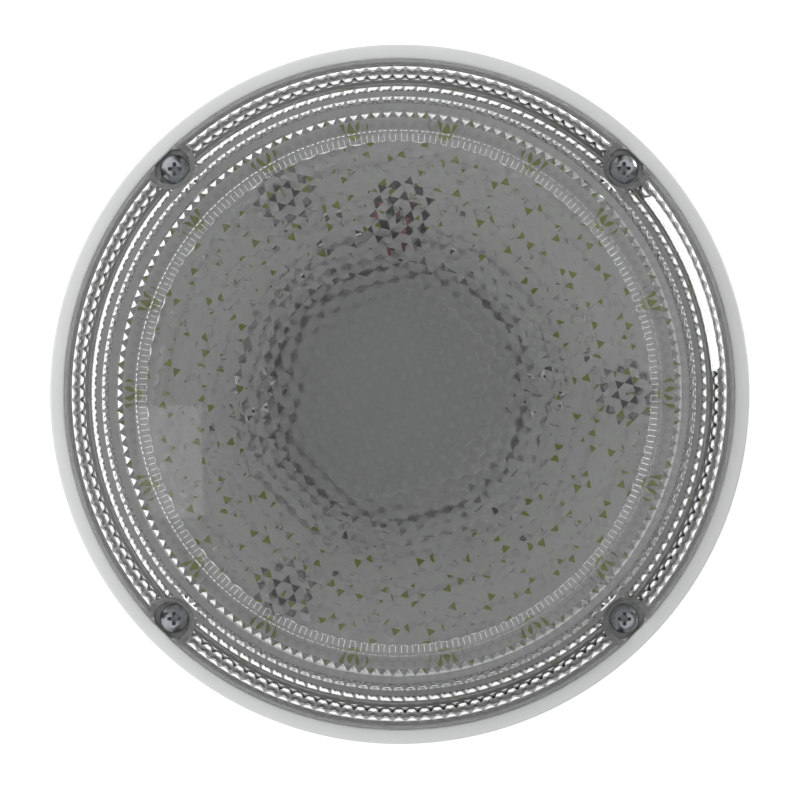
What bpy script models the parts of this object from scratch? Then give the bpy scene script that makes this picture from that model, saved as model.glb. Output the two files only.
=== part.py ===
"""Round surface-mount LED lamp: white base, clear screwed-on lens and a ring-shaped LED board.

The lamp lies on its back. The mounting face is z = 0, the lens faces +Z and the lamp's axis is the Z axis.
"""

import math

import bmesh
import bpy
from mathutils import Matrix, Vector

# Driving dimensions, in metres. FIT_GAP parts two pieces that rest on or fit in each other.
FIT_GAP = 0.0003

# Base housing
OUTER_DIAMETER = 0.216
RIM_WIDTH = 0.0046
RIM_HEIGHT = 0.014
RIM_ROUND = 0.0008
FLOOR_THICKNESS = 0.003
LEDGE_HEIGHT = 0.008
LEDGE_WIDTH = 0.0042
BACK_LIP = 0.0026
BACK_GROOVE_WIDTH = 0.0036
BACK_GROOVE_DEPTH = 0.005

# Lens gasket
GASKET_THICKNESS = 0.0018
GASKET_WIDTH = 0.0036

# Lens
LENS_HEIGHT = 0.029
LENS_WALL = 0.0026
CROWN_SAG = 0.0075
ROLL_WIDTH = 0.021
ROLL_DROP = 0.0125

# Lens screws and the cups, bosses and holes that take them
SCREW_COUNT = 4
SCREW_EDGE_INSET = 0.00515
SCREW_HEAD_RADIUS = 0.0045
SCREW_HEAD_HEIGHT = 0.0031
SCREW_HEAD_BRIM = 0.0011
SCREW_SHANK_RADIUS = 0.0024
SCREW_TIP_RADIUS = 0.0008
SCREW_LENGTH = 0.0105
SCREW_RECESS_SPAN = 0.0046
SCREW_RECESS_WIDTH = 0.0011
SCREW_RECESS_DEPTH = 0.0016
CUP_CLEARANCE = 0.00135
CUP_WALL = 0.0018
CUP_FLOOR = 0.0026
BOSS_WALL = 0.0025
PILOT_RELIEF = 0.0005

# Mounting tubes: a wall screw passes through each, and their shoulders carry the board
TUBE_COUNT = 3
MOUNT_CIRCLE_RADIUS = 0.0705
MOUNT_BORE_RADIUS = 0.0031
TUBE_WALL = 0.0016
TUBE_HEIGHT = 0.016
SHOULDER_WIDTH = 0.0015

# LED board
BOARD_THICKNESS = 0.0016
BOARD_WIDTH = 0.043
BOARD_EDGE_MARGIN = 0.0081
BOARD_STANDOFF = 0.0051
EAR_INSET = 0.0015
EAR_RADIUS = 0.0054

# Board screws, one in each ear
BOARD_SCREW_HEAD_RADIUS = 0.0031
BOARD_SCREW_HEAD_HEIGHT = 0.0022
BOARD_SCREW_HEAD_BRIM = 0.0008
BOARD_SCREW_SHANK_RADIUS = 0.0015
BOARD_SCREW_TIP_RADIUS = 0.0005
BOARD_SCREW_LENGTH = 0.0065
BOARD_SCREW_RECESS_SPAN = 0.0034
BOARD_SCREW_RECESS_WIDTH = 0.0008
BOARD_SCREW_RECESS_DEPTH = 0.0011
POST_WALL = 0.0017

# LEDs: strings of three square packages joined by a copper track. They make three rings round the board,
# with the middle ring half a step round from the other two
LED_STRING_COUNT = 18
LED_SIDE = 0.005
LED_HEIGHT = 0.0009
LED_POCKET_RADIUS = 0.0021
LED_POCKET_DEPTH = 0.0003
LED_OUTER_MARGIN = 0.0004
LED_INNER_MARGIN = 0.006
TRACK_WIDTH = 0.0008
TRACK_THICKNESS = 0.0003

# Chip resistors and the diode
RESISTOR_COUNT = 6
RESISTOR_SIZE = (0.0032, 0.0016, 0.0007)
RESISTOR_FIRST_DEGREES = 10.0
DIODE_SIZE = (0.0043, 0.0026, 0.0021)
DIODE_DEGREES = 111.0
CHIP_INSET = 0.007
CHIP_BEVEL = 0.00015

# Leads and grommet
LEAD_DEGREES = 90.0
LEAD_HOLE_INSET = 0.011
LEAD_HOLE_RADIUS = 0.006
LEAD_RADIUS = 0.00115
LEAD_SPACING = 0.0044
LEAD_LOOP_RISE = 0.0035
LEAD_PAD_INSET = 0.0027
GROMMET_NECK_RADIUS = 0.0042
GROMMET_FLANGE_RADIUS = 0.0062
GROMMET_FLANGE_THICKNESS = 0.001
GROMMET_WEB = 0.0015

# How finely round shapes are cut
LAMP_STEPS = 72
ROLL_POINTS = 6
CROWN_RINGS = 3
HEAD_STEPS = 16
HEAD_RINGS = 4
HOLE_STEPS = 20
LOBE_STEPS = 10
LEAD_BORE_STEPS = 10
POCKET_STEPS = 8
RIM_ROUND_POINTS = 3
LOOP_POINTS = 9

# A boss or cup bottom lies this far inside a flat face that it would otherwise share
FLUSH_RELIEF = 0.0002
# How far a cutter runs past the faces that it cuts
CUT_OVERRUN = 0.002

# Values worked out from the driving dimensions
OUTER_RADIUS = OUTER_DIAMETER / 2
RIM_INNER_RADIUS = OUTER_RADIUS - RIM_WIDTH
LENS_RADIUS = RIM_INNER_RADIUS - FIT_GAP
LEDGE_INNER_RADIUS = RIM_INNER_RADIUS - LEDGE_WIDTH
GASKET_OUTER_RADIUS = LENS_RADIUS
GASKET_BOTTOM = LEDGE_HEIGHT + FIT_GAP
GASKET_TOP = GASKET_BOTTOM + GASKET_THICKNESS
LENS_BOTTOM = GASKET_TOP + FIT_GAP
LENS_TOP = LENS_BOTTOM + LENS_HEIGHT
ROLL_START = LENS_RADIUS - ROLL_WIDTH

SCREW_CIRCLE_RADIUS = LENS_RADIUS - SCREW_EDGE_INSET
SCREW_HOLE_RADIUS = SCREW_SHANK_RADIUS + FIT_GAP
BOSS_RADIUS = SCREW_HOLE_RADIUS + BOSS_WALL
CUP_RADIUS = SCREW_HEAD_RADIUS + CUP_CLEARANCE
CUP_FLOOR_TOP = LENS_BOTTOM + CUP_FLOOR
SCREW_SEAT = CUP_FLOOR_TOP + FIT_GAP
SCREW_PILOT_BOTTOM = SCREW_SEAT - SCREW_LENGTH - PILOT_RELIEF

TUBE_RADIUS = MOUNT_BORE_RADIUS + TUBE_WALL
TUBE_HOLE_RADIUS = TUBE_RADIUS + FIT_GAP
SHOULDER_RADIUS = TUBE_HOLE_RADIUS + SHOULDER_WIDTH
SHOULDER_TOP = FLOOR_THICKNESS + BOARD_STANDOFF
BOARD_BOTTOM = SHOULDER_TOP + FIT_GAP
BOARD_TOP = BOARD_BOTTOM + BOARD_THICKNESS
LED_OUTER_CIRCLE = MOUNT_CIRCLE_RADIUS + TUBE_HOLE_RADIUS + LED_OUTER_MARGIN + LED_SIDE / 2
LED_INNER_CIRCLE = MOUNT_CIRCLE_RADIUS - TUBE_HOLE_RADIUS - LED_INNER_MARGIN - LED_SIDE / 2
LED_MIDDLE_CIRCLE = (LED_OUTER_CIRCLE + LED_INNER_CIRCLE) / 2
LED_RINGS = [(LED_INNER_CIRCLE, 0.0), (LED_MIDDLE_CIRCLE, 0.5), (LED_OUTER_CIRCLE, 0.0)]
BOARD_OUTER_RADIUS = LED_OUTER_CIRCLE + LED_SIDE / 2 + BOARD_EDGE_MARGIN
BOARD_INNER_RADIUS = BOARD_OUTER_RADIUS - BOARD_WIDTH
CHIP_BOTTOM = BOARD_TOP + FIT_GAP

EAR_CIRCLE_RADIUS = BOARD_INNER_RADIUS - EAR_INSET
BOARD_SCREW_HOLE_RADIUS = BOARD_SCREW_SHANK_RADIUS + FIT_GAP
POST_RADIUS = BOARD_SCREW_HOLE_RADIUS + POST_WALL
BOARD_SCREW_SEAT = BOARD_TOP + FIT_GAP
BOARD_SCREW_PILOT_BOTTOM = BOARD_SCREW_SEAT - BOARD_SCREW_LENGTH - PILOT_RELIEF

CHIP_CIRCLE_RADIUS = BOARD_INNER_RADIUS + CHIP_INSET
LEAD_CIRCLE_RADIUS = BOARD_INNER_RADIUS + LEAD_HOLE_INSET
LEAD_PAD_RADIUS = BOARD_INNER_RADIUS + LEAD_PAD_INSET
GROMMET_HOLE_RADIUS = GROMMET_NECK_RADIUS + FIT_GAP
GROMMET_RECESS_RADIUS = GROMMET_FLANGE_RADIUS + FIT_GAP
GROMMET_RECESS_DEPTH = FLOOR_THICKNESS - GROMMET_WEB

SCREW_ANGLES = [math.radians(45 + 360 * n / SCREW_COUNT) for n in range(SCREW_COUNT)]
TUBE_ANGLES = [math.radians(360 * n / TUBE_COUNT) for n in range(TUBE_COUNT)]
EAR_ANGLES = [0.0, math.pi]


def on_circle(radius, angle, z=0.0):
    """Point at an angle on a circle about the lamp's axis."""
    return Vector((radius * math.cos(angle), radius * math.sin(angle), z))


# Scene and object helpers


def clear_scene():
    for old in list(bpy.data.objects):
        bpy.data.objects.remove(old, do_unlink=True)


def new_collection(name):
    collection = bpy.data.collections.new(name)
    bpy.context.scene.collection.children.link(collection)
    return collection


def principled(name, color, roughness, metallic=0.0, transmission=0.0):
    material = bpy.data.materials.new(name)
    material.use_nodes = True
    shader = material.node_tree.nodes["Principled BSDF"]
    shader.inputs["Base Color"].default_value = (*color, 1.0)
    shader.inputs["Roughness"].default_value = roughness
    shader.inputs["Metallic"].default_value = metallic
    shader.inputs["Transmission Weight"].default_value = transmission
    return material


def add_part(name, data, material, location=(0.0, 0.0, 0.0), turn=0.0):
    """Put a mesh or curve in the lamp's collection as a named piece."""
    part = bpy.data.objects.new(name, data)
    LAMP.objects.link(part)
    part.parent = ORIGIN
    part.location = location
    part.rotation_euler = (0.0, 0.0, turn)
    if material and not data.materials:
        data.materials.append(material)
    return part


def add_cutter(name, data):
    cutter = bpy.data.objects.new(name, data)
    CUTTERS.objects.link(cutter)
    cutter.hide_render = True
    cutter.display_type = "WIRE"
    return cutter


def add_boolean(part, cutter, operation):
    modifier = part.modifiers.new(cutter.name, "BOOLEAN")
    modifier.operation = operation
    modifier.object = cutter
    modifier.solver = "EXACT"


def profile_mesh(name, points):
    """Edges through (radius, z) points, ready for a Screw modifier."""
    mesh = bpy.data.meshes.new(name)
    edges = [(n, n + 1) for n in range(len(points) - 1)]
    mesh.from_pydata([(r, 0.0, z) for r, z in points], edges, [])
    return mesh


def add_screw(part, steps):
    """Turn a profile about the piece's own Z axis."""
    modifier = part.modifiers.new("turn", "SCREW")
    modifier.steps = steps
    modifier.render_steps = steps
    modifier.use_merge_vertices = True
    modifier.merge_threshold = 0.00001
    modifier.use_smooth_shade = True


def cylinders(name, centres, radius, low, high, steps):
    """One mesh of upright cylinders, one at each centre."""
    shape = bmesh.new()
    for centre in centres:
        bmesh.ops.create_cone(
            shape,
            cap_ends=True,
            segments=steps,
            radius1=radius,
            radius2=radius,
            depth=high - low,
            matrix=Matrix.Translation((centre.x, centre.y, (low + high) / 2)),
        )
    mesh = bpy.data.meshes.new(name)
    shape.to_mesh(mesh)
    shape.free()
    return mesh


def boxes(name, size, places, bevel=0.0):
    """One mesh of boxes, one standing on each place, with their upright and top edges eased."""
    shape = bmesh.new()
    stand = Matrix.Translation((0.0, 0.0, size[2] / 2)) @ Matrix.Diagonal((*size, 1.0))
    for place in places:
        bmesh.ops.create_cube(shape, size=1.0, matrix=place @ stand)
    if bevel:
        eased = [edge for edge in shape.edges if max(v.co.z for v in edge.verts) > size[2] / 2]
        bmesh.ops.bevel(shape, geom=eased, offset=bevel, segments=1, affect="EDGES")
    mesh = bpy.data.meshes.new(name)
    shape.to_mesh(mesh)
    shape.free()
    return mesh


def evaluated_mesh(pattern):
    """Mesh of a pattern object with its modifiers applied, and the pattern removed."""
    bpy.context.view_layer.update()
    finished = pattern.evaluated_get(bpy.context.evaluated_depsgraph_get())
    mesh = bpy.data.meshes.new_from_object(finished)
    mesh.name = pattern.name
    bpy.data.objects.remove(pattern, do_unlink=True)
    return mesh


# Flat outlines


def circle_outline(radius, steps, centre=Vector((0.0, 0.0, 0.0))):
    return [centre + on_circle(radius, 2 * math.pi * n / steps) for n in range(steps)]


def lobed_outline(radius, lobe_circle, lobe_radius, lobe_angles):
    """Inner outline of a ring that swells inwards round each lobe's centre."""
    reach = math.acos((radius**2 + lobe_circle**2 - lobe_radius**2) / (2 * radius * lobe_circle))
    opening = math.acos((radius * math.cos(reach) - lobe_circle) / lobe_radius)
    points = []
    for index, angle in enumerate(lobe_angles):
        following = lobe_angles[(index + 1) % len(lobe_angles)]
        if index == len(lobe_angles) - 1:
            following += 2 * math.pi
        centre = on_circle(lobe_circle, angle)
        for n in range(LOBE_STEPS + 1):
            around = angle - opening - (2 * math.pi - 2 * opening) * n / LOBE_STEPS
            points.append(centre + on_circle(lobe_radius, around))
        span = following - angle - 2 * reach
        count = max(2, round(LAMP_STEPS * span / (2 * math.pi)))
        points += [on_circle(radius, angle + reach + span * n / count) for n in range(1, count)]
    return points


def plate_curve(name, outlines, thickness):
    """Flat plate of a given thickness, centred on z = 0: the first outline with the others as holes."""
    curve = bpy.data.curves.new(name, "CURVE")
    curve.dimensions = "2D"
    curve.fill_mode = "BOTH"
    curve.extrude = thickness / 2
    for outline in outlines:
        spline = curve.splines.new("POLY")
        spline.points.add(len(outline) - 1)
        for target, point in zip(spline.points, outline):
            target.co = (point.x, point.y, 0.0, 1.0)
        spline.use_cyclic_u = True
    return curve


# Base housing


def base_profile():
    """Half section of the pan: floor, ledge, rounded rim, outer wall and the groove that cores the back."""
    points = [
        (0.0, FLOOR_THICKNESS),
        (LEDGE_INNER_RADIUS, FLOOR_THICKNESS),
        (LEDGE_INNER_RADIUS, LEDGE_HEIGHT),
        (RIM_INNER_RADIUS, LEDGE_HEIGHT),
    ]
    sides = [(RIM_INNER_RADIUS + RIM_ROUND, math.pi), (OUTER_RADIUS - RIM_ROUND, math.pi / 2)]
    for centre, start in sides:
        for n in range(RIM_ROUND_POINTS + 1):
            angle = start - math.pi / 2 * n / RIM_ROUND_POINTS
            radius = centre + RIM_ROUND * math.cos(angle)
            points.append((radius, RIM_HEIGHT - RIM_ROUND + RIM_ROUND * math.sin(angle)))
    groove_outer = OUTER_RADIUS - BACK_LIP
    groove_inner = groove_outer - BACK_GROOVE_WIDTH
    points += [
        (OUTER_RADIUS, 0.0),
        (groove_outer, 0.0),
        (groove_outer, BACK_GROOVE_DEPTH),
        (groove_inner, BACK_GROOVE_DEPTH),
        (groove_inner, 0.0),
        (0.0, 0.0),
    ]
    return points


def make_base_housing(material):
    base = add_part("base_housing", profile_mesh("base_housing", base_profile()), material)
    add_screw(base, LAMP_STEPS)
    screw_places = [on_circle(SCREW_CIRCLE_RADIUS, angle) for angle in SCREW_ANGLES]
    tube_places = [on_circle(MOUNT_CIRCLE_RADIUS, angle) for angle in TUBE_ANGLES]
    ear_places = [on_circle(EAR_CIRCLE_RADIUS, angle) for angle in EAR_ANGLES]
    grommet_place = [on_circle(LEAD_CIRCLE_RADIUS, math.radians(LEAD_DEGREES))]
    rooted = FLOOR_THICKNESS / 2
    added = [
        ("lens_bosses", screw_places, BOSS_RADIUS, LEDGE_HEIGHT - FLUSH_RELIEF),
        ("tube_shoulders", tube_places, SHOULDER_RADIUS, SHOULDER_TOP),
        ("board_posts", ear_places, POST_RADIUS, SHOULDER_TOP),
        ("mount_tubes", tube_places, TUBE_RADIUS, TUBE_HEIGHT),
    ]
    for name, places, radius, top in added:
        shape = cylinders(name, places, radius, rooted, top, HOLE_STEPS)
        add_boolean(base, add_cutter(name, shape), "UNION")
    board_pilot_top = SHOULDER_TOP + CUT_OVERRUN
    removed = [
        ("mount_bores", tube_places, MOUNT_BORE_RADIUS, -CUT_OVERRUN, TUBE_HEIGHT + CUT_OVERRUN),
        ("lens_pilots", screw_places, SCREW_HOLE_RADIUS, SCREW_PILOT_BOTTOM, LEDGE_HEIGHT + CUT_OVERRUN),
        ("board_pilots", ear_places, BOARD_SCREW_HOLE_RADIUS, BOARD_SCREW_PILOT_BOTTOM, board_pilot_top),
        ("lead_hole", grommet_place, GROMMET_HOLE_RADIUS, -CUT_OVERRUN, FLOOR_THICKNESS + CUT_OVERRUN),
        ("grommet_recess", grommet_place, GROMMET_RECESS_RADIUS, -CUT_OVERRUN, GROMMET_RECESS_DEPTH),
    ]
    for name, places, radius, low, high in removed:
        shape = cylinders(name, places, radius, low, high, HOLE_STEPS)
        add_boolean(base, add_cutter(name, shape), "DIFFERENCE")


# Lens gasket


def make_lens_gasket(material):
    inner_radius = GASKET_OUTER_RADIUS - GASKET_WIDTH
    inner = lobed_outline(inner_radius, SCREW_CIRCLE_RADIUS, BOSS_RADIUS, SCREW_ANGLES)
    outlines = [circle_outline(GASKET_OUTER_RADIUS, LAMP_STEPS), inner]
    for angle in SCREW_ANGLES:
        outlines.append(circle_outline(SCREW_HOLE_RADIUS, HOLE_STEPS, on_circle(SCREW_CIRCLE_RADIUS, angle)))
    plate = plate_curve("lens_gasket", outlines, GASKET_THICKNESS)
    add_part("lens_gasket", plate, material, (0.0, 0.0, (GASKET_BOTTOM + GASKET_TOP) / 2))


# Lens


def crown_height(radius):
    """Height of the lens's crown, before its edge rolls over."""
    return LENS_TOP - CROWN_SAG * (radius / ROLL_START) ** 2


def crown_fall(radius):
    """How steeply the crown falls away from the axis."""
    return 2 * CROWN_SAG * radius / ROLL_START**2


def dome_curve(inset):
    """Points (radius, z) from the axis to the skirt, set in from the outer surface along its normal."""
    surface = []
    for n in range(CROWN_RINGS):
        radius = ROLL_START * n / CROWN_RINGS
        surface.append((radius, crown_height(radius), Vector((crown_fall(radius), 1.0))))
    for n in range(ROLL_POINTS + 1):
        angle = math.pi / 2 * n / ROLL_POINTS
        radius = ROLL_START + ROLL_WIDTH * math.sin(angle)
        height = crown_height(radius) - ROLL_DROP * (1 - math.cos(angle))
        run = ROLL_WIDTH * math.cos(angle)
        fall = ROLL_DROP * math.sin(angle) + crown_fall(radius) * run
        surface.append((radius, height, Vector((fall, run))))
    points = []
    for radius, height, normal in surface:
        normal.normalize()
        points.append((radius - inset * normal.x, height - inset * normal.y))
    return points


def lens_profile():
    outer = dome_curve(0.0) + [(LENS_RADIUS, LENS_BOTTOM)]
    inner = dome_curve(LENS_WALL) + [(LENS_RADIUS - LENS_WALL, LENS_BOTTOM)]
    return outer + inner[::-1]


def make_lens(material):
    lens = add_part("lens", profile_mesh("lens", lens_profile()), material)
    add_screw(lens, LAMP_STEPS)
    places = [on_circle(SCREW_CIRCLE_RADIUS, angle) for angle in SCREW_ANGLES]
    inside = LENS_WALL / 2
    bottom = LENS_BOTTOM + FLUSH_RELIEF
    envelope_profile = dome_curve(inside) + [(LENS_RADIUS - inside, LENS_BOTTOM), (0.0, LENS_BOTTOM)]
    envelope = add_cutter("cup_envelope", profile_mesh("cup_envelope", envelope_profile))
    add_screw(envelope, LAMP_STEPS)
    cup_outer = CUP_RADIUS + CUP_WALL
    cups = add_cutter("lens_cups", cylinders("lens_cups", places, cup_outer, bottom, LENS_TOP, HOLE_STEPS))
    add_boolean(cups, envelope, "INTERSECT")
    add_boolean(lens, cups, "UNION")
    above = LENS_TOP + CUT_OVERRUN
    below = LENS_BOTTOM - CUT_OVERRUN
    pockets = cylinders("cup_pockets", places, CUP_RADIUS, CUP_FLOOR_TOP, above, HOLE_STEPS)
    add_boolean(lens, add_cutter("cup_pockets", pockets), "DIFFERENCE")
    holes = cylinders("cup_holes", places, SCREW_HOLE_RADIUS, below, above, HOLE_STEPS)
    add_boolean(lens, add_cutter("cup_holes", holes), "DIFFERENCE")


# Screws


def screw_mesh(name, head_radius, head_height, brim, shank_radius, tip_radius, length, recess):
    """Pan-head cross-recess screw whose head sits on z = 0 and whose shank points down."""
    profile = []
    for n in range(HEAD_RINGS + 1):
        angle = math.pi / 2 * (1 - n / HEAD_RINGS)
        profile.append((head_radius * math.cos(angle), brim + (head_height - brim) * math.sin(angle)))
    profile += [(head_radius, 0.0), (shank_radius, 0.0), (shank_radius, tip_radius - length)]
    profile += [(tip_radius, -length), (0.0, -length)]
    profile[0] = (0.0, head_height)
    pattern = add_part(name, profile_mesh(name, profile), None)
    add_screw(pattern, HEAD_STEPS)
    span, width, depth = recess
    shape = bmesh.new()
    for turn in (0.0, math.pi / 2):
        place = Matrix.Rotation(turn, 4, "Z") @ Matrix.Translation((0.0, 0.0, head_height))
        bmesh.ops.create_cube(shape, size=1.0, matrix=place @ Matrix.Diagonal((span, width, 2 * depth, 1.0)))
    cross = bpy.data.meshes.new(name + "_recess")
    shape.to_mesh(cross)
    shape.free()
    add_boolean(pattern, add_cutter(name + "_recess", cross), "DIFFERENCE")
    pattern.modifiers[-1].use_self = True
    return evaluated_mesh(pattern)


def make_lens_screws(material):
    mesh = screw_mesh(
        "lens_screw",
        SCREW_HEAD_RADIUS,
        SCREW_HEAD_HEIGHT,
        SCREW_HEAD_BRIM,
        SCREW_SHANK_RADIUS,
        SCREW_TIP_RADIUS,
        SCREW_LENGTH,
        (SCREW_RECESS_SPAN, SCREW_RECESS_WIDTH, SCREW_RECESS_DEPTH),
    )
    for number, angle in enumerate(SCREW_ANGLES, 1):
        place = on_circle(SCREW_CIRCLE_RADIUS, angle, SCREW_SEAT)
        add_part(f"lens_screw_{number}", mesh, material, place)


def make_board_screws(material):
    mesh = screw_mesh(
        "board_screw",
        BOARD_SCREW_HEAD_RADIUS,
        BOARD_SCREW_HEAD_HEIGHT,
        BOARD_SCREW_HEAD_BRIM,
        BOARD_SCREW_SHANK_RADIUS,
        BOARD_SCREW_TIP_RADIUS,
        BOARD_SCREW_LENGTH,
        (BOARD_SCREW_RECESS_SPAN, BOARD_SCREW_RECESS_WIDTH, BOARD_SCREW_RECESS_DEPTH),
    )
    for number, angle in enumerate(EAR_ANGLES, 1):
        place = on_circle(EAR_CIRCLE_RADIUS, angle, BOARD_SCREW_SEAT)
        add_part(f"board_screw_{number}", mesh, material, place)


# LED board and what it carries


def make_led_board(material):
    inner = lobed_outline(BOARD_INNER_RADIUS, EAR_CIRCLE_RADIUS, EAR_RADIUS, EAR_ANGLES)
    outlines = [circle_outline(BOARD_OUTER_RADIUS, LAMP_STEPS), inner]
    holes = [(TUBE_HOLE_RADIUS, MOUNT_CIRCLE_RADIUS, angle) for angle in TUBE_ANGLES]
    holes += [(BOARD_SCREW_HOLE_RADIUS, EAR_CIRCLE_RADIUS, angle) for angle in EAR_ANGLES]
    holes.append((LEAD_HOLE_RADIUS, LEAD_CIRCLE_RADIUS, math.radians(LEAD_DEGREES)))
    for radius, circle, angle in holes:
        outlines.append(circle_outline(radius, HOLE_STEPS, on_circle(circle, angle)))
    plate = plate_curve("led_board", outlines, BOARD_THICKNESS)
    add_part("led_board", plate, material, (0.0, 0.0, (BOARD_BOTTOM + BOARD_TOP) / 2))


def make_led_strings(material):
    places = []
    for circle, step in LED_RINGS:
        angle = 2 * math.pi * step / LED_STRING_COUNT
        places.append(Matrix.Translation(on_circle(circle, angle)) @ Matrix.Rotation(angle, 4, "Z"))
    pattern = add_part("led_string", boxes("led_string", (LED_SIDE, LED_SIDE, LED_HEIGHT), places), None)
    centres = [place.translation for place in places]
    for first, second in zip(centres, centres[1:]):
        way = second - first
        middle = (first + second) / 2
        middle.z = FLUSH_RELIEF
        place = Matrix.Translation(middle) @ Matrix.Rotation(math.atan2(way.y, way.x), 4, "Z")
        size = (way.length - LED_SIDE / 2, TRACK_WIDTH, TRACK_THICKNESS)
        add_boolean(pattern, add_cutter("led_track", boxes("led_track", size, [place])), "UNION")
    low = LED_HEIGHT - LED_POCKET_DEPTH
    high = LED_HEIGHT + CUT_OVERRUN
    pockets = cylinders("led_pockets", centres, LED_POCKET_RADIUS, low, high, POCKET_STEPS)
    add_boolean(pattern, add_cutter("led_pockets", pockets), "DIFFERENCE")
    mesh = evaluated_mesh(pattern)
    for number in range(LED_STRING_COUNT):
        angle = 2 * math.pi * number / LED_STRING_COUNT
        add_part(f"led_string_{number + 1:02d}", mesh, material, (0.0, 0.0, CHIP_BOTTOM), angle)


def make_resistors(material):
    mesh = boxes("resistor", RESISTOR_SIZE, [Matrix()], CHIP_BEVEL)
    for number in range(RESISTOR_COUNT):
        angle = math.radians(RESISTOR_FIRST_DEGREES + 360 * number / RESISTOR_COUNT)
        place = on_circle(CHIP_CIRCLE_RADIUS, angle, CHIP_BOTTOM)
        add_part(f"resistor_{number + 1}", mesh, material, place, angle)


def make_diode(material):
    mesh = boxes("polarity_diode", DIODE_SIZE, [Matrix()], CHIP_BEVEL)
    angle = math.radians(DIODE_DEGREES)
    add_part("polarity_diode", mesh, material, on_circle(CHIP_CIRCLE_RADIUS, angle, CHIP_BOTTOM), angle)


# Leads and grommet


def make_grommet(material):
    lower = GROMMET_RECESS_DEPTH - FIT_GAP
    upper = FLOOR_THICKNESS + FIT_GAP
    profile = [
        (0.0, upper + GROMMET_FLANGE_THICKNESS),
        (GROMMET_FLANGE_RADIUS, upper + GROMMET_FLANGE_THICKNESS),
        (GROMMET_FLANGE_RADIUS, upper),
        (GROMMET_NECK_RADIUS, upper),
        (GROMMET_NECK_RADIUS, lower),
        (GROMMET_FLANGE_RADIUS, lower),
        (GROMMET_FLANGE_RADIUS, lower - GROMMET_FLANGE_THICKNESS),
        (0.0, lower - GROMMET_FLANGE_THICKNESS),
    ]
    angle = math.radians(LEAD_DEGREES)
    place = on_circle(LEAD_CIRCLE_RADIUS, angle)
    grommet = add_part("wire_grommet", profile_mesh("wire_grommet", profile), material, place)
    add_screw(grommet, HEAD_STEPS)
    across = on_circle(LEAD_SPACING / 2, angle + math.pi / 2)
    bores = cylinders(
        "lead_bores",
        [place - across, place + across],
        LEAD_RADIUS + FIT_GAP,
        -CUT_OVERRUN,
        upper + GROMMET_FLANGE_THICKNESS + CUT_OVERRUN,
        LEAD_BORE_STEPS,
    )
    add_boolean(grommet, add_cutter("lead_bores", bores), "DIFFERENCE")


def lead_route(side):
    """Up through the grommet and the board's hole, then over in a half loop to a pad on the board.

    The route is drawn along +X, and the lead is turned to its place.
    """
    span = (LEAD_CIRCLE_RADIUS - LEAD_PAD_RADIUS) / 2
    y = side * LEAD_SPACING / 2
    start = GROMMET_RECESS_DEPTH - GROMMET_FLANGE_THICKNESS
    spring_line = BOARD_TOP + LEAD_RADIUS
    points = [Vector((LEAD_CIRCLE_RADIUS, y, start)), Vector((LEAD_CIRCLE_RADIUS, y, FLOOR_THICKNESS))]
    for n in range(LOOP_POINTS):
        angle = math.pi * n / (LOOP_POINTS - 1)
        x = LEAD_PAD_RADIUS + span + span * math.cos(angle)
        points.append(Vector((x, y, spring_line + LEAD_LOOP_RISE * math.sin(angle))))
    points.append(Vector((LEAD_PAD_RADIUS, y, BOARD_TOP + FIT_GAP)))
    return points


def make_lead(name, side, material):
    curve = bpy.data.curves.new(name, "CURVE")
    curve.dimensions = "3D"
    curve.bevel_depth = LEAD_RADIUS
    curve.bevel_resolution = 2
    curve.use_fill_caps = True
    route = lead_route(side)
    spline = curve.splines.new("POLY")
    spline.points.add(len(route) - 1)
    for target, point in zip(spline.points, route):
        target.co = (*point, 1.0)
    add_part(name, curve, material, turn=math.radians(LEAD_DEGREES))


clear_scene()
LAMP = new_collection("round_led_lamp")
CUTTERS = new_collection("cutters")
ORIGIN = bpy.data.objects.new("lamp_origin", None)
LAMP.objects.link(ORIGIN)

make_base_housing(principled("white_base_plastic", (0.72, 0.74, 0.72), 0.35))
make_lens_gasket(principled("white_silicone", (0.74, 0.74, 0.72), 0.5))
make_lens(principled("clear_lens_plastic", (0.92, 0.94, 0.93), 0.05, transmission=1.0))
make_lens_screws(principled("zinc_screw", (0.45, 0.46, 0.48), 0.3, metallic=1.0))
make_led_board(principled("white_board", (0.6, 0.62, 0.6), 0.5))
make_board_screws(principled("bright_screw", (0.7, 0.7, 0.7), 0.25, metallic=1.0))
make_led_strings(principled("yellow_phosphor", (0.5, 0.55, 0.05), 0.4))
make_resistors(principled("resistor_body", (0.04, 0.04, 0.04), 0.4))
make_diode(principled("diode_body", (0.03, 0.03, 0.03), 0.4))
make_grommet(principled("grommet_rubber", (0.02, 0.02, 0.02), 0.7))
make_lead("lead_red", 1, principled("red_lead", (0.45, 0.02, 0.03), 0.4))
make_lead("lead_black", -1, principled("black_lead", (0.02, 0.02, 0.02), 0.4))
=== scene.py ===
"""Looks of a round LED lamp with a clear prismatic lens, laid out as a Blender add-on.

The frame gives the lamp's solids in metres: the back of the base lies on z = 0 and the lens faces +Z.
"""

import math

import bmesh
import bpy
from bpy.props import FloatProperty, FloatVectorProperty, IntProperty, PointerProperty
from mathutils import Matrix, Vector


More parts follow.
